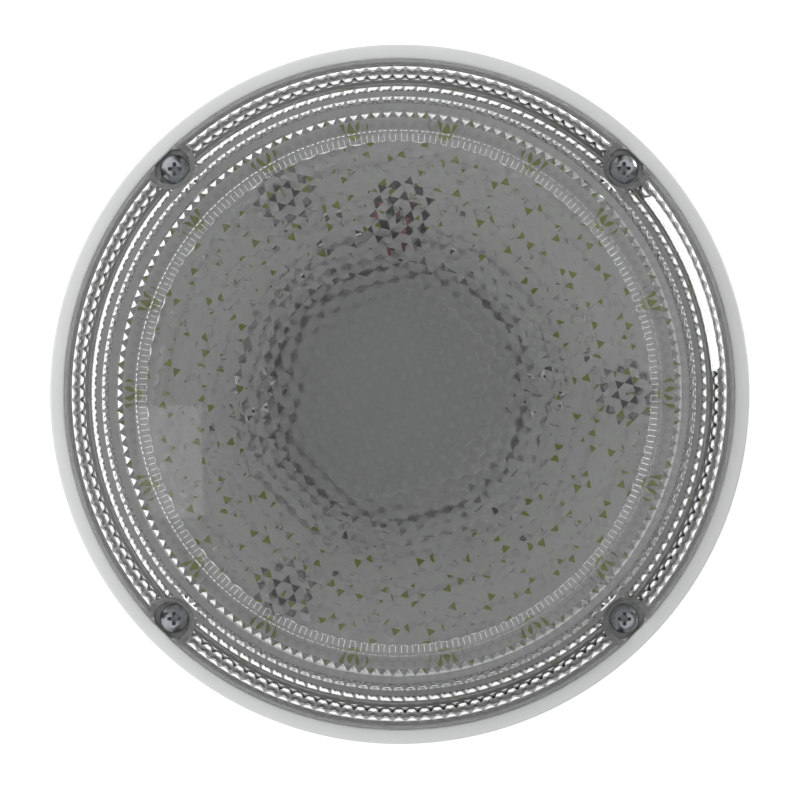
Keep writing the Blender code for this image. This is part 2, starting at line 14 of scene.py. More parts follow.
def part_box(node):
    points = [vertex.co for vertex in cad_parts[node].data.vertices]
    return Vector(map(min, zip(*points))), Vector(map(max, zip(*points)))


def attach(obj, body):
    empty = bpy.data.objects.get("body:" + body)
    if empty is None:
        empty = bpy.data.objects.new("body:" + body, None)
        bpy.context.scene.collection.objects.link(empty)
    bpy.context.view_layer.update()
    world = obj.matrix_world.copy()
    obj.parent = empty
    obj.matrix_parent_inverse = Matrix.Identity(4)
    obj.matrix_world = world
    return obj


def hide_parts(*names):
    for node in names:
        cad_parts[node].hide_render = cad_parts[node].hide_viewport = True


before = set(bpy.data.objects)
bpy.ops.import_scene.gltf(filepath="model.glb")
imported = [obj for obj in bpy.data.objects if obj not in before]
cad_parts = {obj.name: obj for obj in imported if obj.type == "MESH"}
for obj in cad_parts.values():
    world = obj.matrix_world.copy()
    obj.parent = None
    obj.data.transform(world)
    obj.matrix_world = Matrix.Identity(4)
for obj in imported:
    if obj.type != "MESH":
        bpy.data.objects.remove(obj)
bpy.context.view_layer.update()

bl_info = {
    "name": "Round LED lamp looks",
    "version": (1, 0, 0),
    "blender": (4, 5, 0),
    "location": "3D View > Sidebar > Lamp",
    "description": "Builds the visible pieces of a round LED lamp around its solids",
    "category": "Object",
}

LAMP_BODY = "lamp_body"
FRAME_SIDE_PX = 800

# Where the solids are, read from the frame
LENS_LOW, LENS_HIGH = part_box("lens")
BOARD_LOW, BOARD_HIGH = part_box("led_board")
BASE_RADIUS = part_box("base_housing")[1][0]
LENS_RADIUS = LENS_HIGH[0]
LENS_BOTTOM = LENS_LOW[2]
LENS_TOP = LENS_HIGH[2]
BOARD_TOP = BOARD_HIGH[2]

# Lengths and counts that several pieces share
FIT_GAP = 0.0003  # air between neighbours
CUT_REACH = 0.01  # how far a cutting tool passes what it cuts
TURN_STEPS = 288  # faces round the lens and the base

# Inner face of the lens
CLEAR_IOR = 1.586
FIELD_EDGE_STEPS = 280
CUP_RELIEF = 0.0002  # gap between a cup and the lens's bottom
HOLLOW_RISE = 0.008  # bottom of the prisms' hollow over the lens's edge
PLUG_RISE = 0.004  # top of the part of a hollow that only joins it to the next
OVERLAP = 0.00005  # how far neighbouring hollows run into each other
FLUTE_END = 0.07905
FLUTE_EDGE = 0.0002
FLUTE_LEAN = math.radians(15)
FLUTE_STOP = 0.0024  # from the ring's start to where a flute's full depth ends
FLUTE_FADE = 0.0026  # from the ring's start to where it has run out
FLUTE_TURNS = (0.0, 0.473, 0.5, 0.527)
TREAD_DIP = 0.3
# Each row: where its teeth start and end, slopes of the tread before it and of the teeth in degrees,
# and the share that sets how deep the valleys are
EDGE_ROWS = (
    (0.07905, 0.07950, 0.0, 53.0, 0.9),
    (0.08340, 0.08550, 16.0, 58.0, 1.25),
    (0.08783, 0.08976, 12.0, 58.0, 1.15),
    (0.09160, 0.09345, 14.0, 68.0, 0.3),
    (0.09514, 0.09653, 7.5, 68.5, 0.5),
    (0.09797, 0.09909, 16.0, 56.5, 0.3),
)

# Inside and back of the base, as in its solid
FOOT_CHAMFER = 0.0006
GROOVE_OUTSIDE = 0.0026
GROOVE_INSIDE = 0.0062
GROOVE_DEPTH = 0.005
FLOOR_RING = 0.085
FLOOR_CORNER = 0.001
ROUND_POINTS = 8
BOSS_RADIUS = 0.0052
BOSS_RELIEF = 0.0002
TUBE_CIRCLE = 0.0705
TUBE_RADIUS = 0.0047
TUBE_HEIGHT = 0.016
TUBE_BORE = 0.0031
SHOULDER_RADIUS = 0.0065
POST_RADIUS = 0.0035
POST_BORE = 0.0018
BELOW_BASE = -0.002
INNER_LOW = 0.0025  # faces higher than this are inside the base
MOULDED = {"scales": (45.0, 3200.0), "relief": 0.00003}


def node_centre(name):
    low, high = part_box(name)
    return Vector([(a + b) / 2 for a, b in zip(low, high)])


def on_circle(radius, angle, z=0.0):
    return Vector((radius * math.cos(angle), radius * math.sin(angle), z))


# Sizes and colours that a user would change


def length(name, description, default):
    return FloatProperty(name=name, description=description, default=default, unit="LENGTH", precision=5)


def plain_number(name, description, default):
    return FloatProperty(name=name, description=description, default=default)


def tilt(name, description, degrees):
    return FloatProperty(name=name, description=description, default=math.radians(degrees), subtype="ANGLE")


def colour(name, description, default):
    return FloatVectorProperty(
        name=name, description=description, default=default, subtype="COLOR", size=3, min=0.0, max=1.0
    )


class LensSettings(bpy.types.PropertyGroup):
    wall: length("Wall", "Thickness of the lens between its faces", 0.0026)
    crown_sag: length("Crown sag", "Fall of the crown from the axis to where the edge rolls over", 0.0075)
    roll_width: length("Roll width", "Width of the rolled edge", 0.021)
    roll_drop: length("Roll drop", "Height of the rolled edge", 0.0125)
    prism_side: length("Prism side", "Side of one prism facet at the middle of the lens", 0.003018)
    prism_shrink: plain_number(
        "Prism shrink", "How fast the prisms get smaller towards the edge, per square metre", 4.45
    )
    prism_slope: tilt("Prism slope", "Tilt of the prism facets", 21.5)
    prism_turn: tilt("Prism turn", "Direction of one row of prisms", -15)
    field_radius: length("Prism field radius", "Where the six-sided prisms end", 0.07606)
    flute_count: IntProperty(name="Flutes", description="Flutes in the ring round the prisms", default=280)
    flute_depth: length("Flute depth", "Depth of those flutes", 0.00005)
    tooth_count: IntProperty(name="Teeth", description="Prism teeth in each edge row", default=156)
    cup_radius: length("Cup radius", "Inside radius of the cups for the lens screws", 0.00585)
    cup_wall: length("Cup wall", "Wall of those cups", 0.0018)
    cup_floor: length("Cup floor", "Height of a cup's floor over the lens's edge", 0.0026)
    tint: colour("Tint", "Colour of the clear plastic", (0.965, 0.975, 0.97))
    light_share: FloatProperty(
        name="Light share",
        description="Share of the light that reaches the inside",
        default=0.4,
        min=0.0,
        max=1.0,
    )


class BaseSettings(bpy.types.PropertyGroup):
    rim_width: length("Rim width", "Width of the rim round the lens", 0.0046)
    rim_height: length("Rim height", "Height of the rim", 0.014)
    rim_round: length("Rim rounding", "Radius of the rim's two edges", 0.0008)
    floor_thickness: length("Floor", "Thickness of the base's floor", 0.003)
    ledge_height: length("Ledge height", "Height of the ledge under the gasket", 0.008)
    ledge_width: length("Ledge width", "Width of that ledge", 0.0042)
    white: colour("White", "Colour of the moulded base", (0.8, 0.82, 0.805))
    # Painted shade: the tubes are coloured dark to stand for the shade in their bores
    tubes: colour("Tubes", "Colour of the mounting tubes", (0.11, 0.112, 0.11))
    # Painted shade: the floor and walls inside the base are coloured darker than the base's white, as if in
    # shade
    inner: colour("Inner floor", "Colour of the floor under the board", (0.3, 0.305, 0.3))


class ScrewSettings(bpy.types.PropertyGroup):
    head_radius: length("Head radius", "Radius of a lens screw's head", 0.0045)
    head_height: length("Head height", "Height of a lens screw's head", 0.0031)
    brim: length("Brim", "Height of the head's straight edge", 0.0009)
    shank_radius: length("Shank radius", "Outer radius of the thread", 0.0024)
    thread_pitch: length("Thread pitch", "Step of the thread", 0.001)
    zinc: colour("Zinc", "Colour of the plated steel", (0.34, 0.355, 0.375))


class BoardSettings(bpy.types.PropertyGroup):
    led_side: length("LED side", "Side of one LED package", 0.005)
    led_height: length("LED height", "Height of one LED package", 0.0009)
    window_radius: length("Window radius", "Radius of the phosphor window", 0.0023)
    rings: FloatVectorProperty(
        name="LED circles",
        description="Radii of the three LED rings",
        default=(0.057, 0.0677, 0.0784),
        unit="LENGTH",
    )
    per_ring: IntProperty(name="LEDs in a ring", description="LEDs in each ring", default=18)
    mask: colour("Solder mask", "Colour of the board", (0.325, 0.33, 0.32))
    phosphor: colour("Phosphor", "Colour of the LED windows", (0.145, 0.16, 0.003))


class StageSettings(bpy.types.PropertyGroup):
    distance: length("Camera distance", "From the camera to the rim of the base", 0.9)
    rim_px: plain_number("Rim in picture", "Radius of the rim in the picture, in pixels", 349.45)
    centre_px: FloatVectorProperty(
        name="Centre in picture",
        description="Middle of the rim in the picture, in pixels",
        default=(399.2, 393.7),
        size=2,
    )
    aside: FloatVectorProperty(
        name="Camera aside",
        description="How far the camera stands off the lamp's axis",
        default=(0.010, -0.013),
        size=2,
        unit="LENGTH",
    )
    ambient: plain_number("Ambient", "Strength of the even light", 0.05)
    walls: plain_number("Walls", "Strength of the light from the studio's walls", 1.0)
    upper: plain_number("Upper walls", "Strength of the light from higher up", 1.1)
    low: plain_number("Low light", "Strength of the light from low down", 0.9)


# Mesh helpers


def mesh_object(name, vertices, faces):
    mesh = bpy.data.meshes.new(name)
    mesh.from_pydata([tuple(v) for v in vertices], [], faces)
    shape = bmesh.new()
    shape.from_mesh(mesh)
    bmesh.ops.recalc_face_normals(shape, faces=shape.faces)
    shape.to_mesh(mesh)
    shape.free()
    obj = bpy.data.objects.new(name, mesh)
    bpy.context.scene.collection.objects.link(obj)
    return obj


def shape_object(name, shape):
    """Object from a bmesh, which is then freed."""
    mesh = bpy.data.meshes.new(name)
    shape.to_mesh(mesh)
    shape.free()
    obj = bpy.data.objects.new(name, mesh)
    bpy.context.scene.collection.objects.link(obj)
    return obj


def ring_faces(rings, split=False):
    """Faces between rows of vertex numbers; a row of one number is a pole, and split makes triangles."""
    faces = []
    for low, high in zip(rings, rings[1:]):
        steps = max(len(low), len(high))
        for n in range(steps):
            m = (n + 1) % steps
            if len(low) == 1:
                faces.append((low[0], high[m], high[n]))
            elif len(high) == 1:
                faces.append((low[n], low[m], high[0]))
            elif not split:
                faces.append((low[n], low[m], high[m], high[n]))
            elif n % 2:
                faces += [(low[n], low[m], high[n]), (low[m], high[m], high[n])]
            else:
                faces += [(low[n], low[m], high[m]), (low[n], high[m], high[n])]
    return faces


def turned(name, profile, steps, centre=(0.0, 0.0)):
    """Solid of revolution of (radius, z) points about an upright axis."""
    vertices, rings = [], []
    for radius, z in profile:
        count = 1 if radius == 0 else steps
        rings.append(list(range(len(vertices), len(vertices) + count)))
        for n in range(count):
            point = on_circle(radius, 2 * math.pi * n / steps, z)
            vertices.append((point.x + centre[0], point.y + centre[1], z))
    return mesh_object(name, vertices, ring_faces(rings))


def pillar(name, centre, radius, low, high, steps=48):
    profile = [(0.0, low), (radius, low), (radius, high), (0.0, high)]
    return turned(name, profile, steps, centre=(centre.x, centre.y))


def carve(piece, tool, operation):
    """Join, cut or intersect two closed meshes for good."""
    modifier = piece.modifiers.new("carve", "BOOLEAN")
    modifier.operation = operation
    modifier.object = tool
    modifier.solver = "MANIFOLD"
    bpy.context.view_layer.update()
    result = piece.evaluated_get(bpy.context.evaluated_depsgraph_get())
    mesh = bpy.data.meshes.new_from_object(result)
    if not mesh.polygons:
        raise RuntimeError(f"{piece.name}: nothing is left after {operation} with {tool.name}")
    piece.modifiers.clear()
    old = piece.data
    piece.data = mesh
    bpy.data.meshes.remove(old)
    bpy.data.objects.remove(tool, do_unlink=True)
    return piece


def crease(piece, degrees):
    """Shade smooth, apart from edges sharper than an angle."""
    mesh = piece.data
    mesh.shade_smooth()
    mesh.set_sharp_from_angle(angle=math.radians(degrees))


def place(piece, body, material, slot, *nodes):
    """Give a piece its finish and body, and the solids that it stands for."""
    if material:
        piece.data.materials.clear()
        piece.data.materials.append(material)
    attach(piece, body)
    if nodes:
        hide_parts(*nodes)


def rounded(corner, radius, start, count):
    """Quarter round of (radius, z) points about a corner's centre, turning clockwise from a start angle."""
    points = []
    for n in range(count + 1):
        angle = start - math.pi / 2 * n / count
        points.append((corner[0] + radius * math.cos(angle), corner[1] + radius * math.sin(angle)))
    return points


# Finishes


def combine(tree, operation, first, second):
    """Result of one maths operation on two values."""
    node = tree.nodes.new("ShaderNodeMath")
    node.operation = operation
    tree.links.new(first, node.inputs[0])
    tree.links.new(second, node.inputs[1])
    return node.outputs[0]


def fade(tree, source, points):
    """Value that follows (spot, value) points."""
    ramp = tree.nodes.new("ShaderNodeValToRGB")
    stops = ramp.color_ramp.elements
    while len(stops) < len(points):
        stops.new(1.0)
    for stop, (spot, value) in zip(stops, points):
        stop.position = spot
        stop.color = (value, value, value, 1.0)
    tree.links.new(source, ramp.inputs["Fac"])
    return ramp.outputs["Color"]


def grain_group():
    """Colour mottle, uneven gloss and a fine surface height, shared by the finishes."""
    name = "fine_grain"
    if name in bpy.data.node_groups:
        return bpy.data.node_groups[name]
    tree = bpy.data.node_groups.new(name, "ShaderNodeTree")
    sockets = [
        ("Colour", "INPUT", "NodeSocketColor"),
        ("Mottle", "INPUT", "NodeSocketFloat"),
        ("Gloss", "INPUT", "NodeSocketFloat"),
        ("Gloss Change", "INPUT", "NodeSocketFloat"),
        ("Mottle Scale", "INPUT", "NodeSocketFloat"),
        ("Grain Scale", "INPUT", "NodeSocketFloat"),
        ("Colour", "OUTPUT", "NodeSocketColor"),
        ("Roughness", "OUTPUT", "NodeSocketFloat"),
        ("Height", "OUTPUT", "NodeSocketFloat"),
    ]
    for label, way, kind in sockets:
        tree.interface.new_socket(name=label, in_out=way, socket_type=kind)
    nodes, links = tree.nodes, tree.links
    inside = nodes.new("NodeGroupInput")
    outside = nodes.new("NodeGroupOutput")
    where = nodes.new("ShaderNodeTexCoord")
    mottle = nodes.new("ShaderNodeTexNoise")
    mottle.inputs["Detail"].default_value = 5.0
    grain = nodes.new("ShaderNodeTexNoise")
    grain.inputs["Detail"].default_value = 3.0
    for texture, scale in ((mottle, "Mottle Scale"), (grain, "Grain Scale")):
        links.new(where.outputs["Object"], texture.inputs["Vector"])
        links.new(inside.outputs[scale], texture.inputs["Scale"])
    centred = nodes.new("ShaderNodeMath")
    centred.operation = "SUBTRACT"
    centred.inputs[1].default_value = 0.5
    links.new(mottle.outputs["Fac"], centred.inputs[0])
    shade = nodes.new("ShaderNodeMath")
    shade.operation = "MULTIPLY_ADD"
    shade.inputs[2].default_value = 1.0
    links.new(centred.outputs[0], shade.inputs[0])
    links.new(inside.outputs["Mottle"], shade.inputs[1])
    tinted = nodes.new("ShaderNodeVectorMath")
    tinted.operation = "SCALE"
    links.new(inside.outputs["Colour"], tinted.inputs[0])
    links.new(shade.outputs[0], tinted.inputs["Scale"])
    gloss = nodes.new("ShaderNodeMath")
    gloss.operation = "MULTIPLY_ADD"
    links.new(centred.outputs[0], gloss.inputs[0])
    links.new(inside.outputs["Gloss Change"], gloss.inputs[1])
    links.new(inside.outputs["Gloss"], gloss.inputs[2])
    links.new(tinted.outputs[0], outside.inputs["Colour"])
    links.new(gloss.outputs[0], outside.inputs["Roughness"])
    links.new(grain.outputs["Fac"], outside.inputs["Height"])
    return tree


def finish(
    name, color, gloss, mottle=0.06, gloss_change=0.15, scales=(60.0, 2500.0), relief=0.00002, metal=0.0
):
    """Material whose colour, gloss and relief come from the grain."""
    material = bpy.data.materials.new(name)
    material.use_nodes = True
    tree = material.node_tree
    shader = tree.nodes["Principled BSDF"]
    grain = tree.nodes.new("ShaderNodeGroup")
    grain.node_tree = grain_group()
    grain.inputs["Colour"].default_value = (*color, 1.0)
    grain.inputs["Mottle"].default_value = mottle
    grain.inputs["Gloss"].default_value = gloss
    grain.inputs["Gloss Change"].default_value = gloss_change
    grain.inputs["Mottle Scale"].default_value = scales[0]
    grain.inputs["Grain Scale"].default_value = scales[1]
    bump = tree.nodes.new("ShaderNodeBump")
    bump.inputs["Strength"].default_value = 1.0
    bump.inputs["Distance"].default_value = relief
    shader.inputs["Metallic"].default_value = metal
    tree.links.new(grain.outputs["Colour"], shader.inputs["Base Color"])
    tree.links.new(grain.outputs["Roughness"], shader.inputs["Roughness"])
    tree.links.new(grain.outputs["Height"], bump.inputs["Height"])
    tree.links.new(bump.outputs["Normal"], shader.inputs["Normal"])
    return material


def clear_finish(name, tint, light_share):
    """Clear moulded plastic; lamps light what is behind it."""
    material = finish(
        name, tint, 0.012, mottle=0.02, gloss_change=0.012, scales=(40.0, 900.0), relief=0.000001
    )
    tree = material.node_tree
    shader = tree.nodes["Principled BSDF"]
    shader.inputs["Transmission Weight"].default_value = 1.0
    shader.inputs["IOR"].default_value = CLEAR_IOR
    through = tree.nodes.new("ShaderNodeBsdfTransparent")
    through.inputs["Color"].default_value = (light_share, light_share, light_share, 1.0)
    path = tree.nodes.new("ShaderNodeLightPath")
    mix = tree.nodes.new("ShaderNodeMixShader")
    output = tree.nodes["Material Output"]
    tree.links.new(path.outputs["Is Shadow Ray"], mix.inputs[0])
    tree.links.new(shader.outputs[0], mix.inputs[1])
    tree.links.new(through.outputs[0], mix.inputs[2])
    tree.links.new(mix.outputs[0], output.inputs["Surface"])
    return material


# Lens


def crown_height(lens, radius):
    return LENS_TOP - lens.crown_sag * (radius / (LENS_RADIUS - lens.roll_width)) ** 2


def lens_section(lens, inset, crown_rings=20, roll_points=28):
    """Points (radius, z) from the axis to the skirt, set in from the outer face along its normal."""
    roll_start = LENS_RADIUS - lens.roll_width
    surface = []
    for n in range(crown_rings):
        radius = roll_start * n / crown_rings
        surface.append((radius, crown_height(lens, radius), 2 * lens.crown_sag * radius / roll_start**2, 1.0))
    for n in range(roll_points + 1):
        angle = math.pi / 2 * n / roll_points
        radius = roll_start + lens.roll_width * math.sin(angle)
        height = crown_height(lens, radius) - lens.roll_drop * (1 - math.cos(angle))
        run = lens.roll_width * math.cos(angle)
        fall = lens.roll_drop * math.sin(angle) + 2 * lens.crown_sag * radius / roll_start**2 * run
        surface.append((radius, height, fall, run))
    points = []
    for radius, height, fall, run in surface:
        size = math.hypot(fall, run)
        points.append((radius - inset * fall / size, height - inset * run / size))
    return points


def height_on(section, radius):
    """Height of a section's line at a radius."""
    for (r0, z0), (r1, z1) in zip(section, section[1:]):
        if r0 <= radius <= r1:
            return z0 + (z1 - z0) * (radius - r0) / (r1 - r0)
    return section[-1][1]


def prism_field(lens, inner, low):
    """Hollow under the middle of the lens: six-sided pyramids whose tips reach into the plastic."""
    first = on_circle(lens.prism_side, lens.prism_turn)
    second = on_circle(lens.prism_side, lens.prism_turn + math.pi / 3)
    rise = lens.prism_side * math.sqrt(3) / 2 * math.tan(lens.prism_slope)
    reach = lens.field_radius + 3 * lens.prism_side
    span = int(reach / lens.prism_side * 1.2) + 2
    numbers, vertices = {}, []
    for i in range(-span, span + 1):
        for j in range(-span, span + 1):
            flat = first * i + second * j
            if flat.length > reach:
                continue
            spot = flat * (1 - lens.prism_shrink * flat.length**2)
            z = height_on(inner, spot.length)
            z += rise * (2 / 3 if (i - j) % 3 == 0 else -1 / 3)
            numbers[i, j] = len(vertices)
            vertices.append((spot.x, spot.y, z))
    faces = []
    for i, j in numbers:
        for corners in (((i, j), (i + 1, j), (i, j + 1)), ((i + 1, j), (i + 1, j + 1), (i, j + 1))):
            if all(corner in numbers for corner in corners):
                faces.append([numbers[corner] for corner in corners])
    mesh = bpy.data.meshes.new("prism_field")
    mesh.from_pydata(vertices, [], faces)
    shape = bmesh.new()
    shape.from_mesh(mesh)
    loose = [v for v in shape.verts if not v.link_faces]
    bmesh.ops.delete(shape, geom=loose, context="VERTS")
    top = list(shape.faces)
    made = bmesh.ops.extrude_face_region(shape, geom=top, use_keep_orig=True)
    for item in made["geom"]:
        if isinstance(item, bmesh.types.BMVert):
            item.co.z = low
    bmesh.ops.recalc_face_normals(shape, faces=shape.faces)
    shape.to_mesh(mesh)
    shape.free()
    field = bpy.data.objects.new("prism_field", mesh)
    bpy.context.scene.collection.objects.link(field)
    edge = pillar(
        "field_edge", Vector(), lens.field_radius, low - CUT_REACH, LENS_TOP + CUT_REACH, FIELD_EDGE_STEPS
    )
    return carve(field, edge, "INTERSECT")


def rows_solid(name, count, turns, rows):
    """Solid from rows of (radius, heights), from the axis out and back.

    Each unit round a row has the heights in turn.
    """
    vertices, rings = [], []
    for radius, heights in rows:
        amount = 1 if radius == 0 else len(turns) * count
        rings.append(list(range(len(vertices), len(vertices) + amount)))
        for n in range(amount):
            unit, part = divmod(n, len(turns))
            vertices.append(on_circle(radius, 2 * math.pi * (unit + turns[part]) / count, heights[part]))
    return mesh_object(name, vertices, ring_faces(rings, split=True))


def flute_ring(lens, inner, low, outer_radius):
    """Hollow under the ring of fine radial ribs round the prisms."""
    start = lens.field_radius - OVERLAP
    plug = low + PLUG_RISE
    rows = [(0.0, (plug,) * 4), (start, (plug,) * 4)]
    lean = math.tan(FLUTE_LEAN)
    middle = (start + outer_radius) / 2
    for radius, lift, depth in (
        (start, FLUTE_EDGE, 1.0),
        (start + FLUTE_EDGE, 0.0, 1.0),
        (start + FLUTE_STOP, 0.0, 1.0),
        (start + FLUTE_FADE, 0.0, 0.0),
        (outer_radius, 0.0, 0.0),
    ):
        z = height_on(inner, radius) + (radius - middle) * lean
        rows.append((radius, (z + lift, z, z - lens.flute_depth * depth, z)))
    rows += [(outer_radius, (low,) * 4), (0.0, (low,) * 4)]
    return rows_solid("flute_ring", lens.flute_count, FLUTE_TURNS, rows)


def tooth_rows(lens, inner, low, start):
    """Hollow under the rolled edge: treads that rise outwards, each with a row of steep teeth at its end."""
    plug = low + PLUG_RISE
    step = height_on(inner, start)
    riser = 0.00003
    rows = [(0.0, (plug,) * 2), (start, (plug,) * 2), (start, (step,) * 2)]
    last = start
    for near, far, tread, slope, share in EDGE_ROWS:
        rise = (near - last) / 2 * math.tan(math.radians(tread))
        if tread:
            middle = height_on(inner, (near + last) / 2)
            rows += [(last + riser, (middle - rise,) * 2), (near, (middle + rise * TREAD_DIP, middle + rise))]
        drop = (far - near) * math.tan(math.radians(slope))
        middle = height_on(inner, (near + far) / 2)
        peak = middle + drop / 2
        step = middle - drop / 2
        rows += [(near + riser, (peak, peak - share * drop)), (far, (step,) * 2)]
        last = far
    skirt = LENS_RADIUS - lens.wall
    bend, fall = 0.0004, 0.0012
    bottom = LENS_BOTTOM - 0.002
    rows += [(skirt - bend, (step,) * 2), (skirt, (step - fall,) * 2)]
    rows += [(skirt, (bottom,) * 2), (0.0, (bottom,) * 2)]
    return rows_solid("tooth_rows", lens.tooth_count, (0.0, 0.5), rows)


class LAMP_OT_lens(bpy.types.Operator):
    """Clear lens: smooth dome outside, prisms inside and four cups for its screws"""

    bl_idname = "lamp.lens"
    bl_label = "Lens"

    def execute(self, context):
        lens = context.scene.lamp_lens
        inner = lens_section(lens, lens.wall)
        low = LENS_BOTTOM + HOLLOW_RISE
        outer = lens_section(lens, 0.0) + [(LENS_RADIUS, LENS_BOTTOM), (0.0, LENS_BOTTOM)]
        piece = turned("clear_lens", outer, TURN_STEPS)
        hollow = tooth_rows(lens, inner, low, FLUTE_END - OVERLAP)
        carve(hollow, flute_ring(lens, inner, low, FLUTE_END), "UNION")
        carve(hollow, prism_field(lens, inner, low), "UNION")
        places = [node_centre(f"lens_screw_{n}") for n in range(1, 5)]
        for spot in places:
            outside = lens.cup_radius + lens.cup_wall
            cup = pillar("cup", spot, outside, LENS_BOTTOM + CUP_RELIEF, LENS_TOP + CUT_REACH)
            carve(hollow, cup, "DIFFERENCE")
        carve(piece, hollow, "DIFFERENCE")
        floor = LENS_BOTTOM + lens.cup_floor
        for spot in places:
            carve(piece, pillar("bore", spot, lens.cup_radius, floor, LENS_TOP + CUT_REACH), "DIFFERENCE")
            hole = context.scene.lamp_screws.shank_radius + FIT_GAP
            carve(piece, pillar("hole", spot, hole, LENS_BOTTOM - CUT_REACH, LENS_TOP), "DIFFERENCE")
        crease(piece, 6.0)
        clear = clear_finish("clear_plastic", lens.tint, lens.light_share)
        place(piece, LAMP_BODY, clear, "clear_plastic", "lens")
        return {"FINISHED"}


# Base


def inner_painted_shade_finish(color):
    """Plastic inside the base, in painted shade: painted light paler towards the board's inner edge, and a
    painted shadow darker along it.
    """
    material = finish("inner_floor_painted_shade", color, 0.5, mottle=0.08, **MOULDED)
    tree = material.node_tree
    shade = tree.nodes["Principled BSDF"].inputs["Base Color"]
    plain = shade.links[0].from_socket
    spot = tree.nodes.new("ShaderNodeNewGeometry")
    painted_tones = []
    for centre, near, far, start, end in (
        # Painted light: paler towards the board's inner edge, more so towards +X, to lift the shade in the
        # corner under the board
        ((-0.004, 0.001, 0.003), 0.036, 0.047, 1.0, 1.5),
        # Painted shadow: darker beyond about 42 mm from the middle, along the board's inner edge
        ((0.0015, -0.0005, 0.003), 0.0423, 0.0424, 1.0, 0.78),
    ):
        reach = tree.nodes.new("ShaderNodeVectorMath")
        reach.operation = "DISTANCE"
        reach.inputs[1].default_value = centre
        tree.links.new(spot.outputs["Position"], reach.inputs[0])
        change = tree.nodes.new("ShaderNodeMapRange")
        change.inputs["From Min"].default_value = near
        change.inputs["From Max"].default_value = far
        change.inputs["To Min"].default_value = start
        change.inputs["To Max"].default_value = end
        tree.links.new(reach.outputs["Value"], change.inputs["Value"])
        painted_tones.append(change.outputs[0])
    shaded = tree.nodes.new("ShaderNodeVectorMath")
    shaded.operation = "SCALE"
    tree.links.new(plain, shaded.inputs[0])
    tree.links.new(combine(tree, "MULTIPLY", *painted_tones), shaded.inputs["Scale"])
    tree.links.new(shaded.outputs[0], shade)
    return material


class LAMP_OT_base(bpy.types.Operator):
    """White base: pan with a rounded rim, mounting tubes, posts and screw bosses"""

    bl_idname = "lamp.base"
    bl_label = "Base"

    def execute(self, context):
        base = context.scene.lamp_base
        screws = context.scene.lamp_screws
        inside = BASE_RADIUS - base.rim_width
        ledge = inside - base.ledge_width
        floor = base.floor_thickness
        profile = [(0.0, floor), (FLOOR_RING, floor), (ledge - FLOOR_CORNER, floor)]
        profile += [(ledge, floor + FLOOR_CORNER), (ledge, base.ledge_height), (inside, base.ledge_height)]
        top = base.rim_height - base.rim_round
        profile += rounded((inside + base.rim_round, top), base.rim_round, math.pi, ROUND_POINTS)
        profile += rounded((BASE_RADIUS - base.rim_round, top), base.rim_round, math.pi / 2, ROUND_POINTS)
        profile += [(BASE_RADIUS, FOOT_CHAMFER), (BASE_RADIUS - FOOT_CHAMFER, 0.0)]
        profile += [(BASE_RADIUS - GROOVE_OUTSIDE, z) for z in (0.0, GROOVE_DEPTH)]
        profile += [(BASE_RADIUS - GROOVE_INSIDE, z) for z in (GROOVE_DEPTH, 0.0)]
        profile.append((0.0, 0.0))
        piece = turned("moulded_base", profile, TURN_STEPS)
        root = floor / 2
        screw_spots = [node_centre(f"lens_screw_{n}") for n in range(1, 5)]
        tube_spots = [on_circle(TUBE_CIRCLE, 2 * math.pi * n / 3) for n in range(3)]
        post_spots = [node_centre(f"board_screw_{n}") for n in range(1, 3)]
        grommet = node_centre("wire_grommet")
        shoulder = BOARD_LOW[2] - FIT_GAP
        for spots, radius, height in (
            (screw_spots, BOSS_RADIUS, base.ledge_height - BOSS_RELIEF),
            (tube_spots, SHOULDER_RADIUS, shoulder),
            (post_spots, POST_RADIUS, shoulder),
            (tube_spots, TUBE_RADIUS, TUBE_HEIGHT),
        ):
            for spot in spots:
                carve(piece, pillar("boss", spot, radius, root, height), "UNION")
        for spots, radius, low, high in (
            (tube_spots, TUBE_BORE, BELOW_BASE, 0.018),
            (screw_spots, screws.shank_radius + FIT_GAP, 0.0023, 0.012),
            (post_spots, POST_BORE, 0.0033, 0.012),
            ([grommet], 0.0045, BELOW_BASE, 0.005),
            ([grommet], 0.0065, BELOW_BASE, 0.0015),
        ):
            for spot in spots:
                carve(piece, pillar("bore", spot, radius, low, high), "DIFFERENCE")
        crease(piece, 28.0)
        white = finish("white_plastic", base.white, 0.34, mottle=0.05, gloss_change=0.18, **MOULDED)
        place(piece, LAMP_BODY, white, "white_plastic", "base_housing")
        piece.data.materials.append(inner_painted_shade_finish(base.inner))
        # Painted shade: the tubes are coloured dark to stand for the shade in their bores
        piece.data.materials.append(finish("tubes_painted_shade", base.tubes, 0.5, mottle=0.08, **MOULDED))
        # Painted shade: faces inside the base take the darker inner colour, and the tubes the dark one
        pan_reach = ledge - 0.0005
        tube_reach = 0.0049
        for face in piece.data.polygons:
            if face.center.z <= INNER_LOW:
                continue
            if Vector(face.center[:2]).length < pan_reach:
                face.material_index = 1
            if any((face.center - spot).xy.length < tube_reach for spot in tube_spots):
                face.material_index = 2
        return {"FINISHED"}


# Screws


def cross_recess(name, reach, width, depth, top):
    """Tapered cross that a driver's tip fits."""
    piece = None
    for turn in (0.0, math.pi / 2):
        spin = Matrix.Rotation(turn, 4, "Z")
        corners = []
        for z, long, wide in ((top - depth, reach * 0.45, width * 0.7), (top + 0.0004, reach, width)):
            for x, y in ((-long, -wide), (long, -wide), (long, wide), (-long, wide)):
                corners.append(spin @ Vector((x, y, z)))
        faces = [(3, 2, 1, 0), (4, 5, 6, 7), (0, 1, 5, 4), (1, 2, 6, 5), (2, 3, 7, 6), (3, 0, 4, 7)]
        bar = mesh_object(name, corners, faces)
        piece = carve(piece, bar, "UNION") if piece else bar
    return piece


